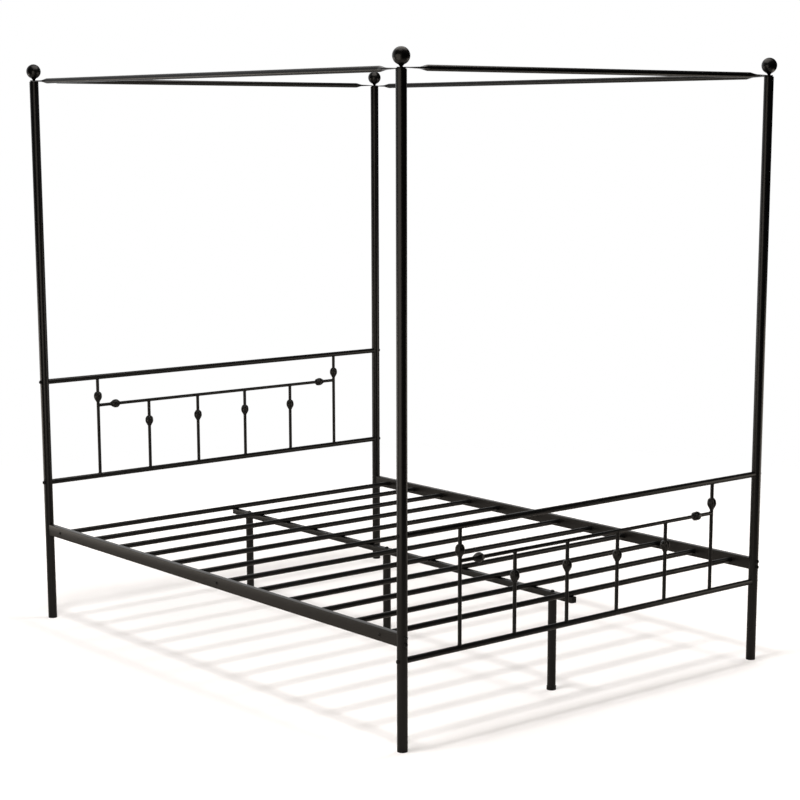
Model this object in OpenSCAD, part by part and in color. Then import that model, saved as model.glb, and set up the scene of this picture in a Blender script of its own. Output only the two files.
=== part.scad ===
// Four poster canopy bed in powder coated steel tube.
// X runs across the bed, +Y points to the head, Z up. The origin is on the floor,
// under the middle of the bed. All sizes are in millimetres.

/* [Overall size] */
// Distance between post centres across the bed
span_w = 1560; // [1250:10:2000]
// Distance between post centres along the bed
span_l = 2060; // [1800:10:2500]
// Height of the post tops above the floor
post_top = 1970; // [1400:10:2400]

/* [Posts] */
// Outer diameter of the post tubes
post_d = 32; // [28:1:50]
// Wall of the post tubes
post_wall = 1.5; // [1:0.1:3]
// Thickness of the foot glides under the posts
glide_t = 6; // [3:1:20]
// Length of the glide stems inside the posts
glide_stem = 22; // [10:1:40]
// Edge chamfer of the glides
glide_chamfer = 1; // [0.5:0.25:2]
// Thickness of the insert flange on a post top
insert_flange_t = 2; // [1:0.5:5]
// Length of the inserts inside the post tops
insert_l = 28; // [24:1:60]

/* [Finials] */
// Diameter of the ball finials
ball_d = 51; // [36:1:80]
// Diameter of the threaded stud under a finial
stud_d = 6; // [5:1:10]
// Length of the stud inside the ball
stud_in_ball = 20; // [12:1:30]
// Length of the stud inside the post insert
stud_in_post = 22; // [12:1:24]
// Height of the collar under a ball
collar_h = 5; // [3:0.5:10]
// Diameter of the collar where it sits on the rod ends
collar_d = 9; // [8:0.5:15]
// Diameter of the collar where it meets the ball
collar_top_d = 19; // [12:0.5:22]

/* [Canopy rods] */
// Outer diameter of the canopy rods
rod_d = 18; // [14:1:28]
// Wall of the canopy rods
rod_wall = 1; // [0.8:0.1:3]
// Thickness of the flattened rod ends
tongue_t = 2.5; // [2:0.1:5]
// Thickness of the pressed end at the foot of the taper
tongue_root_t = 6; // [5:0.5:10]
// Width of the flattened rod ends
tongue_w = 26; // [22:1:40]
// Length of the flat from the post centre
tongue_l = 70; // [40:1:120]
// Length of the taper between flat and round
taper_l = 27; // [15:1:60]
// Clearance of the hole around the stud
stud_clear = 0.5; // [0.2:0.1:1]
// Diameter of the vent holes in closed tubes
vent_d = 5; // [3:0.5:6]

/* [Headboard and footboard] */
// Height of the headboard's top rail
head_rail_z = 890; // [760:10:1300]
// Height of the footboard's top rail
foot_rail_z = 650; // [600:10:1000]
// Height between the two rails of a panel
panel_h = 374; // [340:1:420]
// Outer diameter of the panel rails
panel_rail_d = 19; // [16:1:25]
// Wall of the panel rails
panel_rail_wall = 1.2; // [1:0.1:2]
// Drop from the top rail to the cross rod
cross_drop = 107; // [100:1:150]
// Diameter of the cross rods
cross_d = 12; // [8:0.5:14]
// Diameter of the spindles
spindle_d = 12; // [8:0.5:14]
// Number of spindles in a panel
spindle_n = 6; // [4:1:10]
// Depth left out of a spindle's saddle cut, measured from the middle of the rod it meets
saddle_relief = 2; // [1:0.5:3]
// Largest diameter of a cast knuckle
knuckle_d = 30; // [24:1:40]
// Diameter of a knuckle at its two ends
knuckle_end_d = 16; // [15:1:22]
// Length of a cast knuckle
knuckle_l = 38; // [30:1:46]
// Drop from the top rail to the outer spindles' knuckles
knuckle_drop = 75; // [60:1:78]
// Distance from an outer spindle to the cross rod's knuckle
knuckle_in = 73; // [50:1:120]

/* [Side rails] */
// Height of the middle of the side rails
side_rail_z = 338; // [300:1:500]
// Width of the box section
side_rail_w = 20; // [18:1:26]
// Height of the box section
side_rail_h = 40; // [38:1:80]
// Wall of the box section
side_rail_wall = 1.5; // [1:0.1:3]
// Outer corner radius of the box section
side_rail_r = 2; // [2:0.5:4]

/* [Slats] */
// Number of slats
slat_n = 12; // [6:1:20]
// Outer diameter of the slats
slat_d = 18; // [16:1:25]
// Wall of the slats
slat_wall = 1; // [0.8:0.1:2]
// Distance from a post centre to the nearest slat
slat_margin = 94; // [60:1:200]
// Length of a plug inside the slat
plug_l = 30; // [26:1:60]
// Diameter of a plug's spigot
spigot_d = 9; // [8:0.5:12]
// Length of a plug's spigot
spigot_l = 6; // [3:0.5:10]

/* [Centre support] */
// Width of the centre beam
beam_w = 20; // [16:1:40]
// Height of the centre beam
beam_h = 20; // [16:1:50]
// Wall of the centre beam
beam_wall = 1.5; // [1:0.1:3]
// Length of the beam past the middle of its first and last slats
beam_over = 11; // [10:1:50]
// Thickness of the beam's end caps
beam_cap_t = 3; // [2:0.5:6]
// Length of a beam cap inside the beam
beam_cap_in = 6; // [4:0.5:6.5]
// Outer diameter of the centre legs
leg_d = 28; // [25:1:50]
// Wall of the centre legs
leg_wall = 1.2; // [1:0.1:3]
// Floor thickness of the leg caps
leg_cap_floor = 4; // [3:0.5:10]
// Height of the leg caps
leg_cap_h = 14; // [8:1:30]
// Wall of the leg caps
leg_cap_wall = 1.6; // [1:0.1:3]
// Length of the threaded inserts in the leg tops
leg_insert_l = 25; // [22:1:40]

/* [Fasteners] */
// Diameter of the frame bolts
bolt_d = 8; // [6:1:10]
// Diameter of the frame bolts' domed heads
bolt_head_d = 13.5; // [12:0.5:18]
// Height of the frame bolts' domed heads
bolt_head_h = 6; // [3:0.5:8]
// Distance between the two bolts of a side rail end
bolt_pitch = 20; // [16:1:26]
// Length of thread in a block or insert
bolt_grip = 24; // [15:1:30]
// Diameter of the slat and beam screws
screw_d = 6; // [5:0.5:6]
// Length of a beam screw inside its slat
beam_screw_tip = 4; // [2:1:10]
// Diameter of their domed heads
screw_head_d = 10.5; // [9:0.5:14]
// Height of their domed heads
screw_head_h = 3.3; // [2:0.1:5]
// Width across flats of the hexagon sockets, frame bolts
socket_af = 5; // [4:1:6]
// Width across flats of the hexagon sockets, screws
screw_socket_af = 4; // [3:1:4]
// Depth of the hexagon sockets
socket_depth = 2; // [1:0.5:3]

/* [Fits] */
// Radial clearance of a bolt in its hole
bolt_clear = 0.25; // [0.1:0.05:0.5]
// Gap all round a plug or insert inside its tube
plug_clear = 0.1; // [0.05:0.05:0.3]
// Gap between an insert's face and the post it is pulled against
insert_setback = 2; // [1:0.5:6]

/* [Hidden] */
$fn = 48;
eps = 0.5;
post_x = span_w / 2;
post_y = span_l / 2;
post_r = post_d / 2;
post_bore = post_d - 2 * post_wall;
post_len = post_top - insert_flange_t - glide_t;

// The side rods lie on the posts, and the head and foot rods lie on the side rods' ends.
low_tongue_z = post_top;
high_tongue_z = post_top + tongue_t;
collar_z = high_tongue_z + tongue_t;
ball_z = collar_z + collar_h + ball_d / 2;

panel_bore = panel_rail_d - 2 * panel_rail_wall;
spindle_pitch = span_w / (spindle_n + 1);
outer_spindle_x = spindle_pitch * (spindle_n - 1) / 2;

// A frame bolt goes through its post and stops 2 short of its insert's far end
frame_bolt_l = post_d + insert_setback + bolt_grip - 2;

slat_z = side_rail_z;
slat_l = span_w - side_rail_w;
slat_pitch = (span_l - 2 * slat_margin) / (slat_n - 1);
slat_bore = slat_d - 2 * slat_wall;
rail_inner_x = post_x - side_rail_w / 2;
rail_outer_x = post_x + side_rail_w / 2;

beam_top = slat_z - slat_d / 2;
beam_z = beam_top - beam_h / 2;
beam_l = span_l - 2 * slat_margin + 2 * beam_over;
leg_top = beam_top - beam_h;
leg_bore = leg_d - 2 * leg_wall;

// Corners of the bed: name, side across (-1 left) and side along (1 head)
CORNERS = [["head_left", -1, 1], ["head_right", 1, 1], ["foot_left", -1, -1], ["foot_right", 1, -1]];
// Panels: name, side along and height of the top rail
PANELS = [["headboard", 1, head_rail_z], ["footboard", -1, foot_rail_z]];
SIDES = [["left", -1], ["right", 1]];
ENDS = [["head", 1], ["foot", -1]];
// Legs: name and the slat, counted from the head, that the leg comes just after
LEGS = [["head", 1], ["middle", floor(slat_n / 2)], ["foot", slat_n - 1]];
// Slats that are screwed to the side rails and to the beam
SCREWED = [1, floor(slat_n / 2) + 1, slat_n];

function slat_y(i) = post_y - slat_margin - (i - 1) * slat_pitch;
function slat_name(i) = str("slat_", i < 10 ? "0" : "", i);
function leg_y(leg) = slat_y(leg[1] + 0.5);

// ---- general shapes ----

// Round tube along +Z from the origin
module tube(d, wall, h) {
    difference() {
        cylinder(d = d, h = h);
        translate([0, 0, -eps]) cylinder(d = d - 2 * wall, h = h + 2 * eps);
    }
}

// Turns +Z to point along +X
module along_x() {
    rotate([0, 90, 0]) children();
}

// Turns +Z to point along +Y
module along_y() {
    rotate([-90, 0, 0]) children();
}

// Screw along -Z from the underside of its domed head at the origin, with a hexagon socket
module screw(d, l, head_d, head_h, af) {
    dome_r = (head_d * head_d / 4 + head_h * head_h) / (2 * head_h);
    translate([0, 0, -l]) cylinder(d = d, h = l + eps / 2);
    difference() {
        intersection() {
            translate([0, 0, head_h - dome_r]) sphere(r = dome_r);
            cylinder(d = head_d, h = head_h + eps);
        }
        translate([0, 0, head_h - socket_depth])
            cylinder(d = af / cos(30), h = socket_depth + eps, $fn = 6);
    }
}

// Rectangular tube along Y, centred on the origin, with rounded edges
module box_tube(w, h, wall, r, l) {
    rotate([90, 0, 0]) translate([0, 0, -l / 2]) difference() {
        linear_extrude(l) rounded_rect(w, h, r);
        translate([0, 0, -eps]) linear_extrude(l + 2 * eps)
            square([w - 2 * wall, h - 2 * wall], center = true);
    }
}

// Rectangle with round corners, centred on the origin
module rounded_rect(w, h, r) {
    square([w - 2 * r, h], center = true);
    square([w, h - 2 * r], center = true);
    for (x = [-1, 1], y = [-1, 1]) translate([x * (w / 2 - r), y * (h / 2 - r)]) circle(r = r);
}

// ---- posts ----

// Upright tube with cross holes for the bolts of its panel and of its side rail
module post(sx, sy, rail_z) {
    hole_d = bolt_d + 2 * bolt_clear;
    color("#232323") translate([sx * post_x, sy * post_y, 0]) difference() {
        translate([0, 0, glide_t]) tube(post_d, post_wall, post_len);
        for (z = [rail_z, rail_z - panel_h])
            translate([-post_d, 0, z]) along_x() cylinder(d = hole_d, h = 2 * post_d);
        for (k = [-1, 1]) translate([0, -post_d, side_rail_z + k * bolt_pitch / 2])
            along_y() cylinder(d = hole_d, h = 2 * post_d);
    }
}

// Plastic feet with stems that push into the posts
module post_glides() {
    color("#141414") for (c = CORNERS) translate([c[1] * post_x, c[2] * post_y, 0]) {
        cylinder(d1 = post_d - 2 * glide_chamfer, d2 = post_d, h = glide_chamfer);
        translate([0, 0, glide_chamfer]) cylinder(d = post_d, h = glide_t - glide_chamfer);
        cylinder(d = post_bore - 2 * plug_clear, h = glide_t + glide_stem);
    }
}

// Threaded inserts with a flange that closes each post top
module post_inserts() {
    color("#1c1c1c") for (c = CORNERS) translate([c[1] * post_x, c[2] * post_y, post_top]) difference() {
        union() {
            translate([0, 0, -insert_flange_t]) cylinder(d = post_d, h = insert_flange_t);
            translate([0, 0, -insert_l]) cylinder(d = post_bore - 2 * plug_clear, h = insert_l - eps);
        }
        translate([0, 0, -insert_l - eps]) cylinder(d = stud_d, h = insert_l + 2 * eps);
    }
}

// ---- finials ----

// Ball with a small tapered collar, threaded on the stud
module finial(sx, sy) {
    color("#111111") translate([sx * post_x, sy * post_y, collar_z]) difference() {
        union() {
            translate([0, 0, collar_h + ball_d / 2]) sphere(d = ball_d, $fn = 96);
            cylinder(d1 = collar_d, d2 = collar_top_d, h = collar_h + 1);
        }
        translate([0, 0, -eps]) cylinder(d = stud_d, h = collar_h + stud_in_ball + eps);
    }
}

// Studs from the post inserts through the rod ends into the balls
module finial_studs() {
    color("silver") for (c = CORNERS)
        translate([c[1] * post_x, c[2] * post_y, post_top - stud_in_post])
            cylinder(d = stud_d, h = stud_in_post + 2 * tongue_t + collar_h + stud_in_ball);
}

// ---- canopy ----

// Tube along X between two posts that are span apart, its two ends pressed flat and pierced.
// The middle of the flats is at height zero.
module canopy_rod(span) {
    round_l = span - 2 * (tongue_l + taper_l);
    color("#232323") difference() {
        union() {
            translate([-round_l / 2, 0, 0]) along_x() cylinder(d = rod_d, h = round_l);
            for (s = [0, 1]) mirror([s, 0, 0]) translate([round_l / 2, 0, 0]) pressed_end();
        }
        translate([-round_l / 2, 0, 0]) along_x() cylinder(d = rod_d - 2 * rod_wall, h = round_l);
        for (s = [-1, 1]) translate([s * span / 2, 0, -tongue_t])
            cylinder(d = stud_d + 2 * stud_clear, h = 2 * tongue_t);
        for (s = [-1, 1]) translate([s * (round_l / 2 - rod_d), 0, -rod_d]) cylinder(d = vent_d, h = rod_d);
    }
}

// From the end of the round tube at the origin: a taper that spreads as it thins, then a tongue
// that thins on to its full flat just outside the post
module pressed_end() {
    tip_x = taper_l + tongue_l;
    flat_x = tip_x - post_d / 2 - 6;
    intersection() {
        along_x() cylinder(d1 = rod_d, d2 = tongue_w, h = taper_l);
        rotate([90, 0, 0]) linear_extrude(2 * tongue_w, center = true) polygon([
            [0, -rod_d / 2], [taper_l, -tongue_root_t / 2], [taper_l, tongue_root_t / 2], [0, rod_d / 2]]);
    }
    rotate([90, 0, 0]) linear_extrude(tongue_w, center = true) polygon([
        [taper_l, -tongue_root_t / 2], [flat_x, -tongue_t / 2], [tip_x, -tongue_t / 2],
        [tip_x, tongue_t / 2], [flat_x, tongue_t / 2], [taper_l, tongue_root_t / 2]]);
    translate([tip_x, 0, -tongue_t / 2]) cylinder(d = tongue_w, h = tongue_t);
}

// Rod along one side, lowest on the posts
module side_canopy_rod(sx) {
    translate([sx * post_x, 0, low_tongue_z + tongue_t / 2]) rotate([0, 0, 90]) canopy_rod(span_l);
}

// Rod across the head or the foot, on top of the side rods' ends
module end_canopy_rod(sy) {
    translate([0, sy * post_y, high_tongue_z + tongue_t / 2]) canopy_rod(span_w);
}

// ---- headboard and footboard ----

// The two post surfaces that a rail across the bed is saddled against
module post_pair() {
    for (s = [-1, 1]) translate([s * post_x, 0, -panel_rail_d]) cylinder(d = post_d, h = 2 * panel_rail_d);
}

// Tube across the bed between two posts, its ends cut to their round
module panel_rail(sy, z) {
    color("#232323") translate([0, sy * post_y, z]) difference() {
        translate([-post_x, 0, 0]) along_x() tube(panel_rail_d, panel_rail_wall, span_w);
        post_pair();
    }
}

// Thin rod between the two outer spindles
module cross_rod(sy, top_z) {
    end_x = outer_spindle_x - saddle_relief;
    color("#232323") translate([0, sy * post_y, top_z - cross_drop]) difference() {
        translate([-end_x, 0, 0]) along_x() cylinder(d = cross_d, h = 2 * end_x);
        for (s = [-1, 1])
            translate([s * outer_spindle_x, 0, -cross_d]) cylinder(d = spindle_d, h = 2 * cross_d);
    }
}

// Upright rod from the bottom rail to the top rail
module outer_spindle(sx, sy, top_z) {
    color("#232323") translate([sx * outer_spindle_x, sy * post_y, top_z - panel_h]) difference() {
        cylinder(d = spindle_d, h = panel_h);
        for (z = [0, panel_h])
            translate([-spindle_d, 0, z]) along_x() cylinder(d = panel_rail_d, h = 2 * spindle_d);
    }
}

// Upright rods from the bottom rail to the cross rod
module inner_spindles(sy, top_z) {
    h = panel_h - cross_drop;
    color("#232323") for (i = [1 : spindle_n - 2])
        translate([i * spindle_pitch - outer_spindle_x, sy * post_y, top_z - panel_h]) difference() {
            cylinder(d = spindle_d, h = h - saddle_relief);
            translate([-spindle_d, 0, 0]) along_x() cylinder(d = panel_rail_d, h = 2 * spindle_d);
            translate([-spindle_d, 0, h]) along_x() cylinder(d = cross_d, h = 2 * spindle_d);
        }
}

// Cast barrel along Z on a rod of diameter d
module knuckle(d) {
    rise = (knuckle_d - knuckle_end_d) / 2;
    arc_r = (knuckle_l * knuckle_l / 4 + rise * rise) / (2 * rise);
    rotate_extrude() intersection() {
        translate([knuckle_d / 2 - arc_r, 0]) circle(r = arc_r, $fn = 96);
        translate([d / 2, -knuckle_l / 2]) square([knuckle_d, knuckle_l]);
    }
}

// Knuckles halfway up the inner spindles, near the top of the outer ones and on the cross rod
module knuckles(sy, top_z) {
    color("#2a2a2a") translate([0, sy * post_y, top_z]) {
        for (i = [1 : spindle_n - 2])
            translate([i * spindle_pitch - outer_spindle_x, 0, -panel_h / 2]) knuckle(spindle_d);
        for (s = [-1, 1]) {
            translate([s * outer_spindle_x, 0, -knuckle_drop]) knuckle(spindle_d);
            translate([s * (outer_spindle_x - knuckle_in), 0, -cross_drop]) along_x() knuckle(cross_d);
        }
    }
}

// ---- side rails and slats ----

// Box tube between two posts, its ends cut to their round, with a hole for each slat's spigot
module side_rail(sx) {
    color("#3a3836") translate([sx * post_x, 0, side_rail_z]) difference() {
        box_tube(side_rail_w, side_rail_h, side_rail_wall, side_rail_r, span_l);
        for (s = [-1, 1])
            translate([0, s * post_y, -side_rail_h]) cylinder(d = post_d, h = 2 * side_rail_h);
        for (i = [1 : slat_n]) translate([0, slat_y(i), 0]) mirror([sx > 0 ? 1 : 0, 0, 0]) {
            along_x() cylinder(d = spigot_d + 2 * plug_clear, h = side_rail_w);
            if (len(search(i, SCREWED)) > 0)
                translate([-side_rail_w, 0, 0]) along_x()
                    cylinder(d = screw_d + 2 * bolt_clear, h = side_rail_w);
        }
    }
}

// Round tube across the bed between the side rails, drilled from below if a beam screw holds it
module slat(i) {
    color("#232323") translate([0, slat_y(i), slat_z]) difference() {
        translate([-slat_l / 2, 0, 0]) along_x() tube(slat_d, slat_wall, slat_l);
        if (len(search(i, SCREWED)) > 0) translate([0, 0, -slat_d]) cylinder(d = screw_d, h = slat_d);
    }
}

// Plugs in both ends of every slat, with spigots that sit in the side rails
module slat_plugs() {
    color("#141414") for (i = [1 : slat_n], s = [0, 1]) translate([0, slat_y(i), slat_z])
        mirror([s, 0, 0]) translate([rail_inner_x, 0, 0]) along_x() difference() {
            union() {
                translate([0, 0, -plug_l]) cylinder(d = slat_bore - 2 * plug_clear, h = plug_l);
                translate([0, 0, -eps]) cylinder(d = spigot_d, h = spigot_l + eps);
            }
            translate([0, 0, -plug_l - eps]) cylinder(d = screw_d, h = plug_l + spigot_l + 2 * eps);
        }
}

// Screws through the side rails into the plugs of the screwed slats
module slat_screws() {
    color("#1a1a1a") for (i = SCREWED, s = [0, 1]) translate([0, slat_y(i), slat_z])
        mirror([s, 0, 0]) translate([rail_outer_x, 0, 0]) along_x()
            screw(screw_d, side_rail_w + plug_l - 2, screw_head_d, screw_head_h, screw_socket_af);
}

// ---- centre support ----

// Square tube along the bed under the slats, drilled for the leg bolts and the beam screws
module centre_beam() {
    color("#232323") difference() {
        translate([0, 0, beam_z]) box_tube(beam_w, beam_h, beam_wall, beam_wall, beam_l);
        for (l = LEGS) translate([0, leg_y(l), beam_z - beam_h])
            cylinder(d = bolt_d + 2 * bolt_clear, h = 2 * beam_h);
        for (i = SCREWED) translate([0, slat_y(i), beam_z - beam_h])
            cylinder(d = screw_d + 2 * bolt_clear, h = 2 * beam_h);
    }
}

// Plastic caps in the beam's two ends
module beam_end_caps() {
    in_w = beam_w - 2 * beam_wall - 2 * plug_clear;
    in_h = beam_h - 2 * beam_wall - 2 * plug_clear;
    color("#141414") for (s = [0, 1]) mirror([0, s, 0]) translate([0, beam_l / 2, beam_z]) {
        rotate([-90, 0, 0]) linear_extrude(beam_cap_t) rounded_rect(beam_w, beam_h, beam_wall);
        translate([-in_w / 2, -beam_cap_in, -in_h / 2]) cube([in_w, beam_cap_in + eps, in_h]);
    }
}

// Round tube from its cap up to the underside of the beam
module centre_leg(leg) {
    color("#232323") translate([0, leg_y(leg), leg_cap_floor])
        tube(leg_d, leg_wall, leg_top - leg_cap_floor);
}

// Plastic cups on the lower ends of the legs
module leg_caps() {
    cap_d = leg_d + 2 * leg_cap_wall;
    color("#141414") for (l = LEGS) translate([0, leg_y(l), 0]) difference() {
        union() {
            cylinder(d1 = cap_d - 2 * glide_chamfer, d2 = cap_d, h = glide_chamfer);
            translate([0, 0, glide_chamfer]) cylinder(d = cap_d, h = leg_cap_h - glide_chamfer);
        }
        translate([0, 0, leg_cap_floor]) cylinder(d = leg_d, h = leg_cap_h);
    }
}

// Threaded inserts in the tops of the legs
module leg_inserts() {
    color("silver") for (l = LEGS) translate([0, leg_y(l), leg_top - leg_insert_l]) difference() {
        cylinder(d = leg_bore - 2 * plug_clear, h = leg_insert_l);
        translate([0, 0, -eps]) cylinder(d = bolt_d, h = leg_insert_l + 2 * eps);
    }
}

// Bolts from the top of the beam down into the leg inserts
module leg_bolts() {
    color("#1a1a1a") for (l = LEGS) translate([0, leg_y(l), beam_top])
        screw(bolt_d, beam_h + leg_insert_l - insert_setback, bolt_head_d, bolt_head_h, socket_af);
}

// Screws from under the beam into the screwed slats' lower walls
module beam_screws() {
    l = beam_h + slat_wall + beam_screw_tip;
    color("#1a1a1a") for (i = SCREWED) translate([0, slat_y(i), leg_top])
        mirror([0, 0, 1]) screw(screw_d, l, screw_head_d, screw_head_h, screw_socket_af);
}

// ---- inserts and bolts of the frame ----

// Threaded inserts in the ends of the headboard and footboard rails
module panel_rail_inserts() {
    color("silver") for (p = PANELS, dz = [0, panel_h], s = [0, 1])
        translate([0, p[1] * post_y, p[2] - dz]) mirror([s, 0, 0])
            translate([post_x - post_r - insert_setback, 0, 0]) rotate([0, -90, 0]) difference() {
                cylinder(d = panel_bore - 2 * plug_clear, h = bolt_grip);
                translate([0, 0, -eps]) cylinder(d = bolt_d, h = bolt_grip + 2 * eps);
            }
}

// Threaded blocks in the ends of the side rails
module side_rail_blocks() {
    w = side_rail_w - 2 * side_rail_wall - 2 * plug_clear;
    h = side_rail_h - 2 * side_rail_wall - 2 * plug_clear;
    color("silver") for (c = CORNERS) translate([c[1] * post_x, 0, side_rail_z])
        mirror([0, c[2] < 0 ? 1 : 0, 0]) translate([0, post_y - post_r - insert_setback, 0]) difference() {
            translate([-w / 2, -bolt_grip, -h / 2]) cube([w, bolt_grip, h]);
            for (k = [-1, 1]) translate([0, -bolt_grip - eps, k * bolt_pitch / 2])
                along_y() cylinder(d = bolt_d, h = bolt_grip + 2 * eps);
        }
}

// Bolts through the posts into the panel rails, heads on the bed's two long sides
module panel_bolts() {
    color("#1a1a1a") for (p = PANELS, dz = [0, panel_h], s = [0, 1])
        translate([0, p[1] * post_y, p[2] - dz]) mirror([s, 0, 0]) translate([post_x + post_r, 0, 0])
            along_x() screw(bolt_d, frame_bolt_l, bolt_head_d, bolt_head_h, socket_af);
}

// Bolts through the posts into the side rails, heads on the head and foot faces
module side_rail_bolts() {
    color("#1a1a1a") for (c = CORNERS, k = [-1, 1])
        translate([c[1] * post_x, 0, side_rail_z + k * bolt_pitch / 2]) mirror([0, c[2] < 0 ? 1 : 0, 0])
            translate([0, post_y + post_r, 0]) along_y()
                screw(bolt_d, frame_bolt_l, bolt_head_d, bolt_head_h, socket_af);
}

// ---- the bed ----

for (c = CORNERS) {
    post(c[1], c[2], c[2] > 0 ? head_rail_z : foot_rail_z);
    finial(c[1], c[2]);
}
post_glides();
post_inserts();
finial_studs();
for (s = SIDES) {
    side_canopy_rod(s[1]);
    side_rail(s[1]);
}
for (e = ENDS) {
    end_canopy_rod(e[1]);
}
for (p = PANELS) {
    panel_rail(p[1], p[2]);
    panel_rail(p[1], p[2] - panel_h);
    cross_rod(p[1], p[2]);
    outer_spindle(-1, p[1], p[2]);
    outer_spindle(1, p[1], p[2]);
    inner_spindles(p[1], p[2]);
    knuckles(p[1], p[2]);
}
for (i = [1 : slat_n]) {
    slat(i);
}
slat_plugs();
slat_screws();
centre_beam();
beam_end_caps();
beam_screws();
for (l = LEGS) {
    centre_leg(l);
}
leg_caps();
leg_inserts();
leg_bolts();
panel_rail_inserts();
side_rail_blocks();
panel_bolts();
side_rail_bolts();
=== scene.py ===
"""Four poster canopy bed in black powder coated steel tube, built piece by piece round its CAD frame."""

import math

import bmesh
import bpy
import numpy as np
from mathutils import Matrix, Vector


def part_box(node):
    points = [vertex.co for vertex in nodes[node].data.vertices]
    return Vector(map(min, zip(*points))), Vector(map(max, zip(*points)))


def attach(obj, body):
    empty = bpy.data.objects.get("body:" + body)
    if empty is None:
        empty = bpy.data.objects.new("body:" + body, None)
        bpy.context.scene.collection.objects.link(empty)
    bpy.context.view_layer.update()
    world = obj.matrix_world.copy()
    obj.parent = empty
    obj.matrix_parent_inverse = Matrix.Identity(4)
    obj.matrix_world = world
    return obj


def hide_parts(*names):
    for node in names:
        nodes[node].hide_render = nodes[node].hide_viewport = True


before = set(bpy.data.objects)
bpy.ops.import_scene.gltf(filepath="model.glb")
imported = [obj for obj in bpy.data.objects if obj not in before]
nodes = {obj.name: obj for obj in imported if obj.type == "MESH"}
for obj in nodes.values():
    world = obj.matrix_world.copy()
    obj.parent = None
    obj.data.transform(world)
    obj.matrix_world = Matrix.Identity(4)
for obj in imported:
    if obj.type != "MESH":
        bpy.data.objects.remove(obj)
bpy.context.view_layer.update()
scene = bpy.context.scene

# ---- Camera ----
# A long lens stands off the bed's front left corner, a little above eye height for someone seated.
# It looks slightly down, and the lens is shifted up so that the posts stay almost parallel.
CAMERA_PLACE = Vector((-4.2521, -5.2331, 1.8185))
CAMERA_TURN = math.radians(-39.658)
CAMERA_DIP = math.radians(10.4236)
CAMERA_ROLL = math.radians(-0.0868)
look = Vector(
    (
        -math.sin(CAMERA_TURN) * math.cos(CAMERA_DIP),
        math.cos(CAMERA_TURN) * math.cos(CAMERA_DIP),
        -math.sin(CAMERA_DIP),
    )
)
level = look.cross(Vector((0, 0, 1))).normalized()
upright = level.cross(look)
right = level * math.cos(CAMERA_ROLL) + upright * math.sin(CAMERA_ROLL)
up = upright * math.cos(CAMERA_ROLL) - level * math.sin(CAMERA_ROLL)
camera_data = bpy.data.cameras.new("camera")
camera_data.sensor_width = 36
camera_data.lens = 86.869
camera_data.shift_x = -0.00652
camera_data.shift_y = 0.09929
camera_data.clip_end = 60
camera = bpy.data.objects.new("camera", camera_data)
scene.collection.objects.link(camera)
camera.matrix_world = Matrix.Translation(CAMERA_PLACE) @ Matrix((right, up, -look)).transposed().to_4x4()
scene.camera = camera

# ---- Posts ----
# Four round steel tubes, 32 mm across with a 1.5 mm wall, each in one length from foot to canopy.
# Their ends are deburred, and they are powder coated satin black.
MM = 0.001
POST_WALL = 1.5 * MM
DEBURR = 0.35 * MM


def linear(hex_colour):
    """An sRGB hex colour as the linear colour that a shader takes."""
    parts = [int(hex_colour[i : i + 2], 16) / 255 for i in (1, 3, 5)]
    return [p / 12.92 if p <= 0.04045 else ((p + 0.055) / 1.055) ** 2.4 for p in parts] + [1]


def add_node(tree, kind, sockets=None, **settings):
    """A node with its settings. A socket's value is a plain value, or the output socket that feeds it."""
    made = tree.nodes.new(kind)
    for key, value in settings.items():
        setattr(made, key, value)
    for key, value in (sockets or {}).items():
        if isinstance(value, bpy.types.NodeSocket):
            tree.links.new(value, made.inputs[key])
        else:
            made.inputs[key].default_value = value
    return made


def finish_with(name, dark, light, patch_mm, rough, peel_mm, peel_height_mm, metallic=0.0, ior=1.5, coat=0.0):
    """A finish whose colour drifts between two hexes and whose fine relief repeats at a real size."""
    made = bpy.data.materials.new(name)
    made.use_nodes = True
    tree = made.node_tree
    tree.nodes.clear()
    place = add_node(tree, "ShaderNodeTexCoord").outputs["Object"]
    patches = add_node(
        tree,
        "ShaderNodeTexNoise",
        {"Vector": place, "Scale": 1 / (patch_mm * MM), "Detail": 3.0, "Roughness": 0.6},
    ).outputs["Fac"]
    # A colour mix keeps its sockets after those for numbers and vectors
    tones = {0: patches, 6: linear(dark), 7: linear(light)}
    colour = add_node(tree, "ShaderNodeMix", tones, data_type="RGBA")
    shine = add_node(
        tree,
        "ShaderNodeMapRange",
        {"Value": patches, "From Min": 0.3, "From Max": 0.7, "To Min": rough[0], "To Max": rough[1]},
    ).outputs["Result"]
    peel = add_node(
        tree,
        "ShaderNodeTexNoise",
        {"Vector": place, "Scale": 1 / (peel_mm * MM), "Detail": 2.0, "Roughness": 0.5},
    ).outputs["Fac"]
    relief = add_node(
        tree, "ShaderNodeBump", {"Height": peel, "Strength": 1.0, "Distance": peel_height_mm * MM}
    ).outputs["Normal"]
    shader = add_node(
        tree,
        "ShaderNodeBsdfPrincipled",
        {
            "Base Color": colour.outputs[2],
            "Roughness": shine,
            "Metallic": metallic,
            "IOR": ior,
            "Coat Weight": coat,
            "Coat Roughness": 0.12,
            "Normal": relief,
        },
    )
    add_node(tree, "ShaderNodeOutputMaterial", {"Surface": shader.outputs["BSDF"]})
    return made


# Epoxy polyester powder, baked on: satin black with a faint orange peel about 2.5 mm across
powder_coat = finish_with(
    "satin black powder coat", "#080808", "#0c0c0c", 140, (0.27, 0.33), 2.5, 0.004
)


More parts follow.
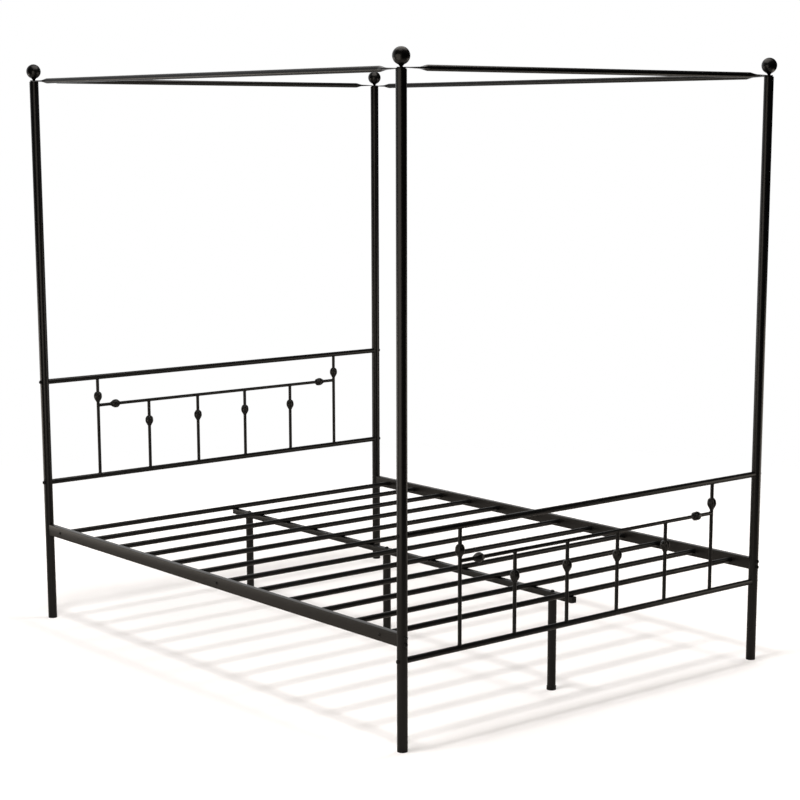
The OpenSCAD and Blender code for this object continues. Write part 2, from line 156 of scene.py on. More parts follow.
def skin(rings, loop=False):
    """Points and faces of a surface through rings of points, joined round on itself or capped at its ends."""
    rings = np.asarray(rings, float)
    count, around = rings.shape[:2]
    faces = []
    for k in range(count if loop else count - 1):
        low, high = k * around, (k + 1) % count * around
        for j in range(around):
            step = (j + 1) % around
            faces.append((low + j, low + step, high + step, high + j))
    if not loop:
        faces.append(tuple(range(around))[::-1])
        faces.append(tuple(range((count - 1) * around, count * around)))
    return rings.reshape(-1, 3), faces


def lathe(profile, around=48, loop=False):
    """A profile of (radius, height) pairs, turned about Z."""
    angle = np.arange(around) * math.tau / around
    turn = np.stack([np.cos(angle), np.sin(angle)], axis=1)
    rings = [np.column_stack([turn * radius, np.full(around, height)]) for radius, height in profile]
    return skin(rings, loop)


def moved(shape, to, z_to=(0, 0, 1)):
    """A shape carried from the origin to a place, with its +Z turned to a direction."""
    points, faces = shape
    turn = np.array(Vector((0, 0, 1)).rotation_difference(Vector(z_to)).to_matrix())
    return points @ turn.T + np.array(to), faces


def joined(shapes):
    """Several shapes as one."""
    points, faces, start = [], [], 0
    for some_points, some_faces in shapes:
        points.append(some_points)
        faces += [tuple(i + start for i in face) for face in some_faces]
        start += len(some_points)
    return np.concatenate(points), faces


def make_mesh(name, shape, finish, crease=35):
    """A clean closed mesh with its faces outwards, smooth but for its creases."""
    points, faces = shape
    mesh = bpy.data.meshes.new(name)
    mesh.from_pydata([tuple(p) for p in points], [], faces)
    work = bmesh.new()
    work.from_mesh(mesh)
    bmesh.ops.remove_doubles(work, verts=work.verts, dist=1e-6)
    bmesh.ops.recalc_face_normals(work, faces=work.faces)
    work.to_mesh(mesh)
    work.free()
    mesh.shade_smooth()
    mesh.set_sharp_from_angle(angle=math.radians(crease))
    mesh.materials.append(finish)
    return mesh


def add_piece(name, mesh, slot, *stands_for):
    """A finished mesh as a piece of the bed, in place of its CAD nodes."""
    piece = bpy.data.objects.new(name, mesh)
    scene.collection.objects.link(piece)
    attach(piece, "root")
    if stands_for:
        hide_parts(*stands_for)
    return piece


def middle(name):
    """The middle of a CAD node's box."""
    low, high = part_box(name)
    return (low + high) / 2


def tube_profile(outer, inner, low, high, ease):
    """The wall of a tube with deburred ends, for a lathe."""
    return [
        (outer - ease, low),
        (outer, low + ease),
        (outer, high - ease),
        (outer - ease, high),
        (inner + ease, high),
        (inner, high - ease),
        (inner, low + ease),
        (inner + ease, low),
    ]


CORNERS = ("head_left", "head_right", "foot_left", "foot_right")
post_low, post_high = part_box("post_foot_left")
POST_R = (post_high.x - post_low.x) / 2
post_at = {corner: middle("post_" + corner) for corner in CORNERS}
for corner in CORNERS:
    wall = tube_profile(POST_R, POST_R - POST_WALL, post_low.z, post_high.z, DEBURR)
    tube = moved(lathe(wall, 64, True), (post_at[corner].x, post_at[corner].y, 0))
    mesh = make_mesh("post", tube, powder_coat)
    add_piece("post_" + corner + "_tube", mesh, "frame_coat", "post_" + corner)

# ---- Foot glides ----
# A moulded polyethylene foot under each post. Its stem pushes into the tube, and its
# rim is as wide as the post, with a rounded lower edge.
GLIDE_ROUND = 1.4 * MM
STEM_GAP = 0.1 * MM
foot_plastic = finish_with(
    "matt black moulded polyethylene", "#070707", "#0b0b0b", 30, (0.55, 0.62), 1.2, 0.02, ior=1.51
)


def rounded_foot(radius, round_r, steps=6):
    """The lower edge of a moulded foot, from the middle of its sole out."""
    angle = np.linspace(0, math.pi / 2, steps)
    edge = [(radius - round_r * (1 - math.sin(a)), round_r * (1 - math.cos(a))) for a in angle]
    return [(0, 0.0)] + edge


glide_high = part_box("post_glides")[1]
stem_r = POST_R - POST_WALL - STEM_GAP
foot_profile = rounded_foot(POST_R, GLIDE_ROUND) + [
    (POST_R, post_low.z - 0.25 * MM),
    (POST_R - 0.25 * MM, post_low.z),
    (stem_r, post_low.z),
    (stem_r, glide_high.z - 1 * MM),
    (stem_r - 1 * MM, glide_high.z),
    (0, glide_high.z),
]
feet = joined([moved(lathe(foot_profile, 64), (p.x, p.y, 0)) for p in post_at.values()])
add_piece("foot_glides", make_mesh("foot_glides", feet, foot_plastic), "foot_plastic", "post_glides")

# ---- Side rails ----
# Two lengths of 20 x 40 mm box section with 2 mm corners, their ends cut to the round of the posts.
# They carry the slats, and are coated with the posts.
RAIL_CORNER = 2 * MM
RAIL_WALL = 1.5 * MM
# The posts' powder, painted lighter and browner: a painted reflection of the warm floor and the left soft
# box, which the rails' flat faces show
rail_coat = finish_with(
    "brown black powder coat on box section", "#141210", "#1a1816", 180, (0.28, 0.34), 2.2, 0.006
)


def rounded_outline(width, height, corner, steps=5):
    """Points round a rectangle with round corners, anticlockwise."""
    points = []
    for quarter, (sx, sy) in enumerate(((1, 1), (-1, 1), (-1, -1), (1, -1))):
        mid_x, mid_y = sx * (width / 2 - corner), sy * (height / 2 - corner)
        for a in np.linspace(0, math.pi / 2, steps) + quarter * math.pi / 2:
            points.append((mid_x + corner * math.cos(a), mid_y + corner * math.sin(a)))
    return np.array(points)


def circle_outline(radius, around=40):
    """Points round a circle, anticlockwise."""
    angle = np.arange(around) * math.tau / around
    return np.column_stack([np.cos(angle), np.sin(angle)]) * radius


def coped(start, end, across, cut_start, cut_end, outline, bore=None):
    """A bar from one tube's axis to another's, its ends cut to the round of those tubes.

    across is the direction square to both the bar and the tubes that it meets."""
    start, end, across = np.array(start, float), np.array(end, float), np.array(across, float)
    length = np.linalg.norm(end - start)
    along = (end - start) / length
    rise = np.cross(along, across)

    def ring(shape, cut, at_end):
        back = np.sqrt(np.maximum(cut**2 - shape[:, 0] ** 2, 0))
        height = length - back if at_end else back
        return start + shape[:, :1] * across + shape[:, 1:] * rise + height[:, None] * along

    rings = [ring(outline, cut_start, False), ring(outline, cut_end, True)]
    if bore is None:
        return skin(rings)
    return skin(rings + [ring(bore, cut_end, True), ring(bore, cut_start, False)], True)


for side in ("left", "right"):
    low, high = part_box("side_rail_" + side)
    centre = (low + high) / 2
    box_outline = rounded_outline(high.x - low.x, high.z - low.z, RAIL_CORNER)
    box_bore = rounded_outline(
        high.x - low.x - 2 * RAIL_WALL, high.z - low.z - 2 * RAIL_WALL, RAIL_CORNER - RAIL_WALL
    )
    rail = coped(
        (centre.x, post_at["foot_" + side].y, centre.z),
        (centre.x, post_at["head_" + side].y, centre.z),
        (1, 0, 0),
        POST_R,
        POST_R,
        box_outline,
        box_bore,
    )
    add_piece(
        "side_rail_" + side + "_box",
        make_mesh("side_rail", rail, rail_coat, 50),
        "rail_coat",
        "side_rail_" + side,
    )

# ---- Slats ----
# Twelve round steel tubes, 18 mm across with a 1 mm wall, laid from rail to rail.
# Each is cut square and held on the rails by plugs in its ends.


def start_tree(name, *sockets):
    """A geometry tree with its named inputs, one mesh out, and the nodes that hold both."""
    tree = bpy.data.node_groups.new(name, "GeometryNodeTree")
    for label, kind in sockets:
        tree.interface.new_socket(name=label, in_out="INPUT", socket_type="NodeSocket" + kind)
    tree.interface.new_socket(name="Mesh", in_out="OUTPUT", socket_type="NodeSocketGeometry")
    return tree, add_node(tree, "NodeGroupInput").outputs


def end_tree(tree, geometry, finish):
    """Closes a tree: its instances are made real and take their finish."""
    real = add_node(tree, "GeometryNodeRealizeInstances", {"Geometry": geometry}).outputs["Geometry"]
    done = add_node(tree, "GeometryNodeSetMaterial", {"Geometry": real, "Material": finish})
    add_node(tree, "NodeGroupOutput", {"Mesh": done.outputs["Geometry"]})


def grow(tree, source, values, finish, crease=35):
    """The plain mesh that a tree makes of a source mesh or curve with these inputs."""
    carrier = bpy.data.objects.new("carrier", source)
    scene.collection.objects.link(carrier)
    modifier = carrier.modifiers.new("tree", "NODES")
    modifier.node_group = tree
    names = {item.name: item.identifier for item in tree.interface.items_tree if item.in_out == "INPUT"}
    for label, value in values.items():
        modifier[names[label]] = value
    modifier[names["Finish"]] = finish
    carrier.update_tag()
    bpy.context.view_layer.update()
    evaluated = carrier.evaluated_get(bpy.context.evaluated_depsgraph_get())
    mesh = bpy.data.meshes.new_from_object(evaluated)
    carrier.modifiers.clear()
    bpy.data.objects.remove(carrier)
    mesh.shade_smooth()
    mesh.set_sharp_from_angle(angle=math.radians(crease))
    return mesh


slat_tree, given = start_tree(
    "slat row",
    ("Source", "Geometry"),
    ("Count", "Int"),
    ("First", "Vector"),
    ("Pitch", "Vector"),
    ("Half length", "Vector"),
    ("Radius", "Float"),
    ("Finish", "Material"),
)
row = add_node(
    slat_tree,
    "GeometryNodeMeshLine",
    {"Count": given["Count"], "Start Location": given["First"], "Offset": given["Pitch"]},
)
back_end = add_node(
    slat_tree, "ShaderNodeVectorMath", {0: given["Half length"], "Scale": -1.0}, operation="SCALE"
)
axis_line = add_node(
    slat_tree,
    "GeometryNodeCurvePrimitiveLine",
    {"Start": back_end.outputs["Vector"], "End": given["Half length"]},
)
outer_round = add_node(
    slat_tree, "GeometryNodeCurvePrimitiveCircle", {"Resolution": 40, "Radius": given["Radius"]}
)
outer_skin = add_node(
    slat_tree,
    "GeometryNodeCurveToMesh",
    {"Curve": axis_line.outputs["Curve"], "Profile Curve": outer_round.outputs["Curve"], "Fill Caps": True},
)
slats_on = add_node(
    slat_tree,
    "GeometryNodeInstanceOnPoints",
    {"Points": row.outputs["Mesh"], "Instance": outer_skin.outputs["Mesh"]},
)
end_tree(slat_tree, slats_on.outputs["Instances"], given["Finish"])
slat_names = sorted(name for name in nodes if name.startswith("slat_") and name[5:].isdigit())
slat_low, slat_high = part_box(slat_names[0])
slat_first, slat_last = middle(slat_names[0]), middle(slat_names[-1])
SLAT_R = (slat_high.z - slat_low.z) / 2
slat_mesh = grow(
    slat_tree,
    bpy.data.meshes.new("start"),
    {
        "Count": len(slat_names),
        "First": slat_first,
        "Pitch": (slat_last - slat_first) / (len(slat_names) - 1),
        "Half length": Vector((slat_high.x, 0, 0)),
        "Radius": SLAT_R,
    },
    powder_coat,
    40,
)
add_piece("slat_tubes", slat_mesh, "frame_coat", *slat_names)

# ---- Headboard and footboard frames ----
# In each panel two 19 mm rail tubes span the posts, and a thin 12 mm rod hangs between the outer
# spindles. Spindles are 12 mm bar, with their ends cut to the round that they are welded to.
PANEL_RAIL_WALL = 1.2 * MM
PANELS = ("headboard", "footboard")
RAIL_R = (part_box("headboard_top_rail")[1].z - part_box("headboard_top_rail")[0].z) / 2
BAR_R = (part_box("headboard_cross_rod")[1].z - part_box("headboard_cross_rod")[0].z) / 2
rail_round, rail_bore = circle_outline(RAIL_R, 48), circle_outline(RAIL_R - PANEL_RAIL_WALL, 48)
bar_round = circle_outline(BAR_R, 32)
INNER_SPINDLES = 4
spindle_x = {}
for panel in PANELS:
    end = panel[:4]
    panel_y = middle(panel + "_top_rail").y
    left_x, right_x = post_at[end + "_left"].x, post_at[end + "_right"].x
    top_z, low_z = middle(panel + "_top_rail").z, middle(panel + "_bottom_rail").z
    cross_z = middle(panel + "_cross_rod").z
    for place, z in (("top", top_z), ("bottom", low_z)):
        ends = (left_x, panel_y, z), (right_x, panel_y, z)
        rail = coped(*ends, (0, 1, 0), POST_R, POST_R, rail_round, rail_bore)
        name = panel + "_" + place + "_rail"
        add_piece(name + "_tube", make_mesh(name, rail, powder_coat), "frame_coat", name)
    outer_x = [middle(panel + "_outer_spindle_" + side).x for side in ("left", "right")]
    rod = coped(
        (outer_x[0], panel_y, cross_z), (outer_x[1], panel_y, cross_z), (0, 1, 0), BAR_R, BAR_R, bar_round
    )
    add_piece(
        panel + "_cross_rod_bar", make_mesh("cross_rod", rod, powder_coat), "frame_coat", panel + "_cross_rod"
    )
    for side, x in zip(("left", "right"), outer_x):
        bar = coped((x, panel_y, low_z), (x, panel_y, top_z), (0, 1, 0), RAIL_R, RAIL_R, bar_round)
        name = panel + "_outer_spindle_" + side
        add_piece(name + "_bar", make_mesh("spindle", bar, powder_coat), "frame_coat", name)
    inner_low, inner_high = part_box(panel + "_inner_spindles")
    inner_x = np.linspace(inner_low.x + BAR_R, inner_high.x - BAR_R, INNER_SPINDLES)
    bars = [
        coped((x, panel_y, low_z), (x, panel_y, cross_z), (0, 1, 0), RAIL_R, BAR_R, bar_round)
        for x in inner_x
    ]
    add_piece(
        panel + "_inner_spindle_bars",
        make_mesh("spindles", joined(bars), powder_coat),
        "frame_coat",
        panel + "_inner_spindles",
    )
    spindle_x[panel] = [outer_x[0], *inner_x, outer_x[1]]

# ---- Welds ----
# Each spindle and cross rod end is welded all round with a bead about 2.4 mm wide.
# The bead ripples where the welder's torch paused, and the coat runs over it.
BEAD_R = 1.25 * MM
BEAD_RIPPLE_MM = 1.8
BEAD_POINTS = 56


def saddle(at, way, across, bar_r, tube_r):
    """The closed path round a bar of one radius where it leaves a tube of another, along way."""
    angle = np.arange(BEAD_POINTS) * math.tau / BEAD_POINTS
    along, across = np.array(way, float), np.array(across, float)
    beside = np.cross(along, across)
    u, v = bar_r * np.cos(angle), bar_r * np.sin(angle)
    back = np.sqrt(np.maximum(tube_r**2 - u**2, 0))
    return np.array(at) + u[:, None] * across + v[:, None] * beside + back[:, None] * along


bead_tree, given = start_tree(
    "weld bead",
    ("Path", "Geometry"),
    ("Bead radius", "Float"),
    ("Ripple", "Float"),
    ("Seed", "Float"),
    ("Finish", "Material"),
)
spot = add_node(bead_tree, "GeometryNodeInputPosition").outputs["Position"]
ripple = add_node(
    bead_tree,
    "ShaderNodeTexNoise",
    {"Vector": spot, "W": given["Seed"], "Scale": given["Ripple"], "Detail": 1.0},
    noise_dimensions="4D",
)
swell = add_node(
    bead_tree,
    "ShaderNodeMapRange",
    {"Value": ripple.outputs["Fac"], "From Min": 0.3, "From Max": 0.7, "To Min": 0.8, "To Max": 1.2},
)
bead_width = add_node(
    bead_tree,
    "ShaderNodeMath",
    {0: swell.outputs["Result"], 1: given["Bead radius"]},
    operation="MULTIPLY",
)
bead_round = add_node(bead_tree, "GeometryNodeCurvePrimitiveCircle", {"Resolution": 10, "Radius": 1.0})
bead_skin = add_node(
    bead_tree,
    "GeometryNodeCurveToMesh",
    {
        "Curve": given["Path"],
        "Profile Curve": bead_round.outputs["Curve"],
        "Scale": bead_width.outputs["Value"],
    },
)
end_tree(bead_tree, bead_skin.outputs["Mesh"], given["Finish"])
for panel in PANELS:
    y = middle(panel + "_top_rail").y
    top_z, low_z = middle(panel + "_top_rail").z, middle(panel + "_bottom_rail").z
    cross_z = middle(panel + "_cross_rod").z
    xs = spindle_x[panel]
    paths = [saddle((x, y, low_z), (0, 0, 1), (0, 1, 0), BAR_R, RAIL_R) for x in xs]
    paths += [saddle((x, y, top_z), (0, 0, -1), (0, 1, 0), BAR_R, RAIL_R) for x in (xs[0], xs[-1])]
    paths += [saddle((x, y, cross_z), (0, 0, -1), (0, 1, 0), BAR_R, BAR_R) for x in xs[1:-1]]
    rod_ends = ((xs[0], 1), (xs[-1], -1))
    paths += [saddle((x, y, cross_z), (s, 0, 0), (0, 1, 0), BAR_R, BAR_R) for x, s in rod_ends]
    curve = bpy.data.curves.new("weld paths", "CURVE")
    curve.dimensions = "3D"
    for path in paths:
        spline = curve.splines.new("POLY")
        spline.points.add(len(path) - 1)
        spline.use_cyclic_u = True
        spline.points.foreach_set("co", np.column_stack([path, np.ones(len(path))]).ravel())
    beads = grow(
        bead_tree,
        curve,
        {"Bead radius": BEAD_R, "Ripple": 1 / (BEAD_RIPPLE_MM * MM), "Seed": 4.0},
        powder_coat,
        80,
    )
    add_piece(panel + "_weld_beads", beads, "frame_coat")

# ---- Knuckles ----
# Cast iron buds slipped over the spindles and the cross rods, about 30 mm across and 38 mm long.
# Six leaves rise from the lower collar, with a hollow between each pair of tips. Sand casting
# and the coat over it leave their edges soft.
KNUCKLE_R = 14.8 * MM
KNUCKLE_HALF = 19 * MM
LEAVES = 6
cast_coat = finish_with(
    "black powder coat on sand castings", "#0b0b0a", "#121110", 12, (0.26, 0.36), 1.6, 0.03
)


def bud(around=72, steps=52):
    """One casting about Z, with a bore for its rod, the leaves' tips up."""
    s = np.linspace(0, 1, steps)[:, None]
    a = (np.arange(around) * math.tau / around)[None, :]
    # Egg shaped body, widest a little above its middle
    body = np.interp(
        s[:, 0],
        [0, 0.03, 0.1, 0.22, 0.36, 0.5, 0.62, 0.74, 0.85, 0.93, 0.975, 1],
        [0.46, 0.5, 0.53, 0.73, 0.91, 0.99, 1.0, 0.98, 0.9, 0.75, 0.6, 0.48],
    )
    body = np.convolve(np.pad(body, 2, "edge"), [0.1, 0.2, 0.4, 0.2, 0.1], "valid")[:, None] * KNUCKLE_R
    from_rib = np.abs((a * LEAVES / math.tau + 0.5) % 1 - 0.5) * 2
    leaf_width = np.clip(1.02 - np.maximum(s - 0.3, 0) * 1.55, 0.0, 1.0)
    inside = np.clip((leaf_width - from_rib) * 6, -1, 1)
    span = np.clip(s * 9, 0, 1) * np.clip((0.96 - s) * 12, 0, 1)
    leaf = 0.6 * MM * inside * span
    rib = 0.5 * MM * np.exp(-((from_rib / 0.1) ** 2)) * span * np.clip(leaf_width, 0, 1)
    hollow = -3.2 * MM * np.exp(-(((1 - from_rib) / 0.42) ** 2) - ((s - 0.81) / 0.095) ** 2)
    radius = np.maximum(body + leaf + rib + hollow, BAR_R + 0.8 * MM)
    height = (s * 2 - 1) * KNUCKLE_HALF + 0 * a
    outer = np.stack([radius * np.cos(a), radius * np.sin(a), height], axis=-1)
    bore = [
        np.stack([BAR_R * np.cos(a[0]), BAR_R * np.sin(a[0]), h + 0 * a[0]], axis=-1)
        for h in (KNUCKLE_HALF, -KNUCKLE_HALF)
    ]
    return skin(list(outer) + bore, True)


repeat_tree, given = start_tree(
    "repeat on points", ("Points", "Geometry"), ("Piece", "Object"), ("Finish", "Material")
)
way_out = add_node(repeat_tree, "GeometryNodeInputNamedAttribute", {"Name": "way"}, data_type="FLOAT_VECTOR")
spin = add_node(repeat_tree, "GeometryNodeInputNamedAttribute", {"Name": "spin"}, data_type="FLOAT")
faced = add_node(
    repeat_tree, "FunctionNodeAlignRotationToVector", {"Vector": way_out.outputs["Attribute"]}, axis="Z"
)
spun = add_node(
    repeat_tree,
    "FunctionNodeAxisAngleToRotation",
    {"Axis": (0, 0, 1), "Angle": spin.outputs["Attribute"]},
)
turned = add_node(
    repeat_tree,
    "FunctionNodeRotateRotation",
    {"Rotation": faced.outputs["Rotation"], "Rotate By": spun.outputs["Rotation"]},
    rotation_space="LOCAL",
)
unit = add_node(
    repeat_tree,
    "GeometryNodeObjectInfo",
    {"Object": given["Piece"], "As Instance": True},
    transform_space="ORIGINAL",
)
set_out = add_node(
    repeat_tree,
    "GeometryNodeInstanceOnPoints",
    {
        "Points": given["Points"],
        "Instance": unit.outputs["Geometry"],
        "Rotation": turned.outputs["Rotation"],
    },
)
end_tree(repeat_tree, set_out.outputs["Instances"], given["Finish"])


def repeat(shape, places, finish, crease=35):
    """One shape set out at each place, a tuple of its point, its way out and its spin about that way."""
    pattern = bpy.data.objects.new("pattern", make_mesh("pattern", shape, finish, crease))
    scene.collection.objects.link(pattern)
    points = bpy.data.meshes.new("places")
    points.from_pydata([tuple(at) for at, way, spin_by in places], [], [])
    ways = points.attributes.new("way", "FLOAT_VECTOR", "POINT")
    ways.data.foreach_set("vector", np.array([way for at, way, spin_by in places], float).ravel())
    spins = points.attributes.new("spin", "FLOAT", "POINT")
    spins.data.foreach_set("value", np.array([spin_by for at, way, spin_by in places], float))
    mesh = grow(repeat_tree, points, {"Piece": pattern}, finish, crease)
    bpy.data.objects.remove(pattern)
    return mesh


KNUCKLE_DROP = 75 * MM
KNUCKLE_IN = 73 * MM
KNUCKLE_SPIN = math.radians(49)
# Each casting was slipped on by hand, so that no two stand quite alike
SPIN_STEP = 0.03
for panel in PANELS:
    y = middle(panel + "_top_rail").y
    top_z, low_z = middle(panel + "_top_rail").z, middle(panel + "_bottom_rail").z
    cross_z = middle(panel + "_cross_rod").z
    xs = spindle_x[panel]
    mid_z = (top_z + low_z) / 2
    places = [((x, y, mid_z), (0, 0, 1), KNUCKLE_SPIN + SPIN_STEP * i) for i, x in enumerate(xs[1:-1])]
    places += [((x, y, top_z - KNUCKLE_DROP), (0, 0, 1), KNUCKLE_SPIN) for x in (xs[0], xs[-1])]
    places += [
        ((xs[0] + KNUCKLE_IN, y, cross_z), (1, 0, 0), KNUCKLE_SPIN),
        ((xs[-1] - KNUCKLE_IN, y, cross_z), (-1, 0, 0), KNUCKLE_SPIN),
    ]
    buds = repeat(bud(), places, cast_coat, 70)
    add_piece(panel + "_cast_knuckles", buds, "cast_coat", panel + "_knuckles")

# ---- Canopy rods ----
# Four 18 mm tubes whose ends are pressed flat and pierced, so that they stack on the posts' tops.
# The tube spreads to 26 mm where it is pressed, and its tip is sheared to a half round.
FLAT_T = 2.5 * MM
FLAT_FROM = 22 * MM
ROOT_T = 6 * MM
FLAT_W = 26 * MM
TAPER = 27 * MM
FLAT_L = 70 * MM


def pressed_rod(centre, along, half_span, radius, around=48):
    """A closed rod through two posts' axes: round in its length, pressed flat at its ends."""
    along = np.array(along, float)
    side = np.cross((0, 0, 1), along)
    angle = (np.arange(around) + 0.5) * math.tau / around
    cos, sin = np.cos(angle), np.sin(angle)

    def ring(at, width, thick, square):
        # square goes from 0, an ellipse, to 1, a flat with round edges
        blunt = 1 - 0.8 * square
        u = np.sign(cos) * np.abs(cos) ** (1 - 0.25 * square) * width / 2
        v = np.sign(sin) * np.abs(sin) ** blunt * thick / 2
        return at * along + u[:, None] * side + v[:, None] * np.array((0, 0, 1.0))

    half = []
    for t in np.linspace(0, 1, 15):
        ease = t * t * (3 - 2 * t)
        # The wall folds in faster than it spreads, as in a press tool
        half.append(
            (
                half_span - FLAT_L - TAPER + t * TAPER,
                2 * radius + (FLAT_W - 2 * radius) * ease,
                2 * radius + (ROOT_T - 2 * radius) * ease,
                ease,
            )
        )
    # From the taper's foot the tongue thins on, to lie flat where it is clamped
    for t in np.linspace(0.2, 1, 5):
        thick = ROOT_T + (FLAT_T - ROOT_T) * t
        half.append((half_span - FLAT_L + t * (FLAT_L - FLAT_FROM), FLAT_W, thick, 1))
    for a in np.linspace(0, math.pi / 2, 12):
        tip_w = max(FLAT_W * math.cos(a), 0.4 * MM)
        half.append((half_span + math.sin(a) * FLAT_W / 2 * 0.999, tip_w, FLAT_T, 1))
    rows = [(-at, w, t, q) for at, w, t, q in half[::-1]] + half
    points, faces = skin([ring(*row) for row in rows])
    return points + np.array(centre), faces


for name, along in (("left", (0, 1, 0)), ("right", (0, 1, 0)), ("head", (1, 0, 0)), ("foot", (1, 0, 0))):
    low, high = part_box("canopy_rod_" + name)
    centre = (low + high) / 2
    half_span = (post_at["head_left"].y - post_at["foot_left"].y) / 2 if along[1] else post_at["head_right"].x
    rod = pressed_rod(centre, along, half_span, (high.z - low.z) / 2)
    mesh = make_mesh("canopy_rod", rod, powder_coat, 45)
    add_piece("canopy_rod_" + name + "_tube", mesh, "frame_coat", "canopy_rod_" + name)

# ---- Finials ----
# Solid balls, 51 mm across, moulded in glossy black plastic over a threaded steel stud.
# A short flared neck stands each ball off the rod ends that it clamps.
NECK_D = (9 * MM, 19 * MM)
BALL_R = 25.5 * MM
NECK_EASE = 0.3 * MM
NECK_FLARE = 1.3
ball_gloss = finish_with(
    "gloss black moulded ABS", "#050505", "#080807", 40, (0.25, 0.31), 6, 0.004, ior=1.5
)
for corner in CORNERS:
    low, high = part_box("finial_" + corner)
    ball_z = high.z - BALL_R
    start_a = math.asin((NECK_D[1] / 2 - 0.6 * MM) / BALL_R)
    neck_r, neck_z = NECK_D[0] / 2, low.z + NECK_EASE
    profile = [(0, low.z), (neck_r - NECK_EASE, low.z), (neck_r, neck_z)]
    profile += [
        (
            neck_r + (BALL_R * math.sin(start_a) - neck_r) * t**NECK_FLARE,
            low.z + NECK_EASE + (ball_z - BALL_R * math.cos(start_a) - low.z - NECK_EASE) * t,
        )
        for t in np.linspace(0.15, 0.95, 7)
    ]
    around_ball = np.linspace(start_a, math.pi, 46)
    profile += [(BALL_R * math.sin(a), ball_z - BALL_R * math.cos(a)) for a in around_ball]
    profile[-1] = (0, ball_z + BALL_R)
    ball = moved(lathe(profile, 96), (post_at[corner].x, post_at[corner].y, 0))
    mesh = make_mesh("finial", ball, ball_gloss, 60)
    add_piece("finial_" + corner + "_ball", mesh, "ball_gloss", "finial_" + corner)

# ---- Centre beam and legs ----
# A 20 mm square tube runs under the slats from end to end. Three 28 mm tube legs
# are bolted up to it, each standing in a moulded cup.
BEAM_CORNER = 1.5 * MM
LEG_WALL = 1.2 * MM
LEG_DEBURR = 0.2 * MM
BEAM_WALL = 1.5 * MM
low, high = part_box("centre_beam")
centre = (low + high) / 2
beam_size = high.x - low.x
outline = rounded_outline(beam_size, beam_size, BEAM_CORNER)
bore = rounded_outline(beam_size - 2 * BEAM_WALL, beam_size - 2 * BEAM_WALL, 0.3 * MM)
beam = coped((0, low.y, centre.z), (0, high.y, centre.z), (1, 0, 0), 0, 0, outline, bore)
add_piece("centre_beam_box", make_mesh("beam", beam, powder_coat, 50), "frame_coat", "centre_beam")
leg_points = []
for name in ("head", "middle", "foot"):
    low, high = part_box("centre_leg_" + name)
    at = (low + high) / 2
    leg_r = (high.x - low.x) / 2
    leg_points.append((at.x, at.y))
    wall = tube_profile(leg_r, leg_r - LEG_WALL, low.z, high.z, LEG_DEBURR)
    tube = moved(lathe(wall, 48, True), (at.x, at.y, 0))
    mesh = make_mesh("leg", tube, powder_coat)
    add_piece("centre_leg_" + name + "_tube", mesh, "frame_coat", "centre_leg_" + name)
cup_low, cup_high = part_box("leg_caps")
cup_r = (cup_high.x - cup_low.x) / 2
cup_profile = rounded_foot(cup_r, 1.2 * MM) + [
    (cup_r, cup_high.z - 0.8 * MM),
    (cup_r - 0.8 * MM, cup_high.z),
    (leg_r + 0.05 * MM, cup_high.z),
    (leg_r + 0.05 * MM, low.z),
    (0, low.z),
]
cups = joined([moved(lathe(cup_profile, 56), (x, y, 0)) for x, y in leg_points])
add_piece("leg_cups", make_mesh("leg_cups", cups, foot_plastic), "foot_plastic", "leg_caps")

# ---- Bolts and screws ----
# Button head screws with hexagon sockets, blackened and lightly oiled.
# M8 bolts hold the rails to the posts and the legs to the beam, and M6 screws hold the slats.
black_oxide = finish_with(
    "black oxide steel", "#101010", "#1c1c1b", 3, (0.24, 0.32), 0.8, 0.006, metallic=0.3, ior=1.5
)


def button_screw(shank_r, length, head_r, head_h, flats, depth, around=48):
    """A screw along -Z from the underside of its head, with a socket in its dome."""
    side = 0.35 * head_h
    dome_h = head_h - side
    dome_r = (head_r**2 + dome_h**2) / (2 * dome_h)
    angle = np.arange(around) * math.tau / around
    circle = np.column_stack([np.cos(angle), np.sin(angle)])
    hexagon = circle * (flats / 2 / np.cos((angle + math.pi / 6) % (math.pi / 3) - math.pi / 6))[:, None]
    land = flats / 2 * 1.22
    edge = math.asin(min(head_r / dome_r, 1))
    dome = np.linspace(edge * 0.97, math.asin(land / dome_r), 9)
    arcs = [(dome_r * math.sin(a), head_h - dome_r * (1 - math.cos(a))) for a in dome]
    profile = [(0, -length), (shank_r - 0.8 * MM, -length), (shank_r, 0.8 * MM - length), (shank_r, 0)]
    profile += [(head_r - 0.15 * MM, 0), (head_r, 0.15 * MM), (head_r, side - 0.1 * MM)] + arcs
    rings = [np.column_stack([circle * r, np.full(around, z)]) for r, z in profile]
    top = arcs[-1][1]
    for scale, z in ((1.05, top), (1.0, top - 0.2 * MM), (1.0, top - depth)):
        rings.append(np.column_stack([hexagon * scale, np.full(around, z)]))
    rings.append(np.column_stack([hexagon * 0.001, np.full(around, top - depth - 0.7 * MM)]))
    return skin(rings)


# Shank radius, head radius, head height, width across the socket's flats, socket depth
BOLT = (4 * MM, 6.75 * MM, 6 * MM, 5 * MM, 2.2 * MM)
SCREW = (3 * MM, 5.25 * MM, 3.3 * MM, 4 * MM, 1.8 * MM)
FRAME_BOLT_L, LEG_BOLT_L, SLAT_SCREW_L, BEAM_SCREW_L = 56 * MM, 43 * MM, 48 * MM, 25 * MM
post_far = {corner: (math.copysign(1, p.x), math.copysign(1, p.y)) for corner, p in post_at.items()}


def screw_set(name, node, size, length, places):
    """All the screws of one kind as one piece."""
    shank, head_r, head_h, flats, depth = size
    shape = button_screw(shank, length, head_r, head_h, flats, depth)
    add_piece(name, repeat(shape, places, black_oxide, 32), "black_fastener", node)


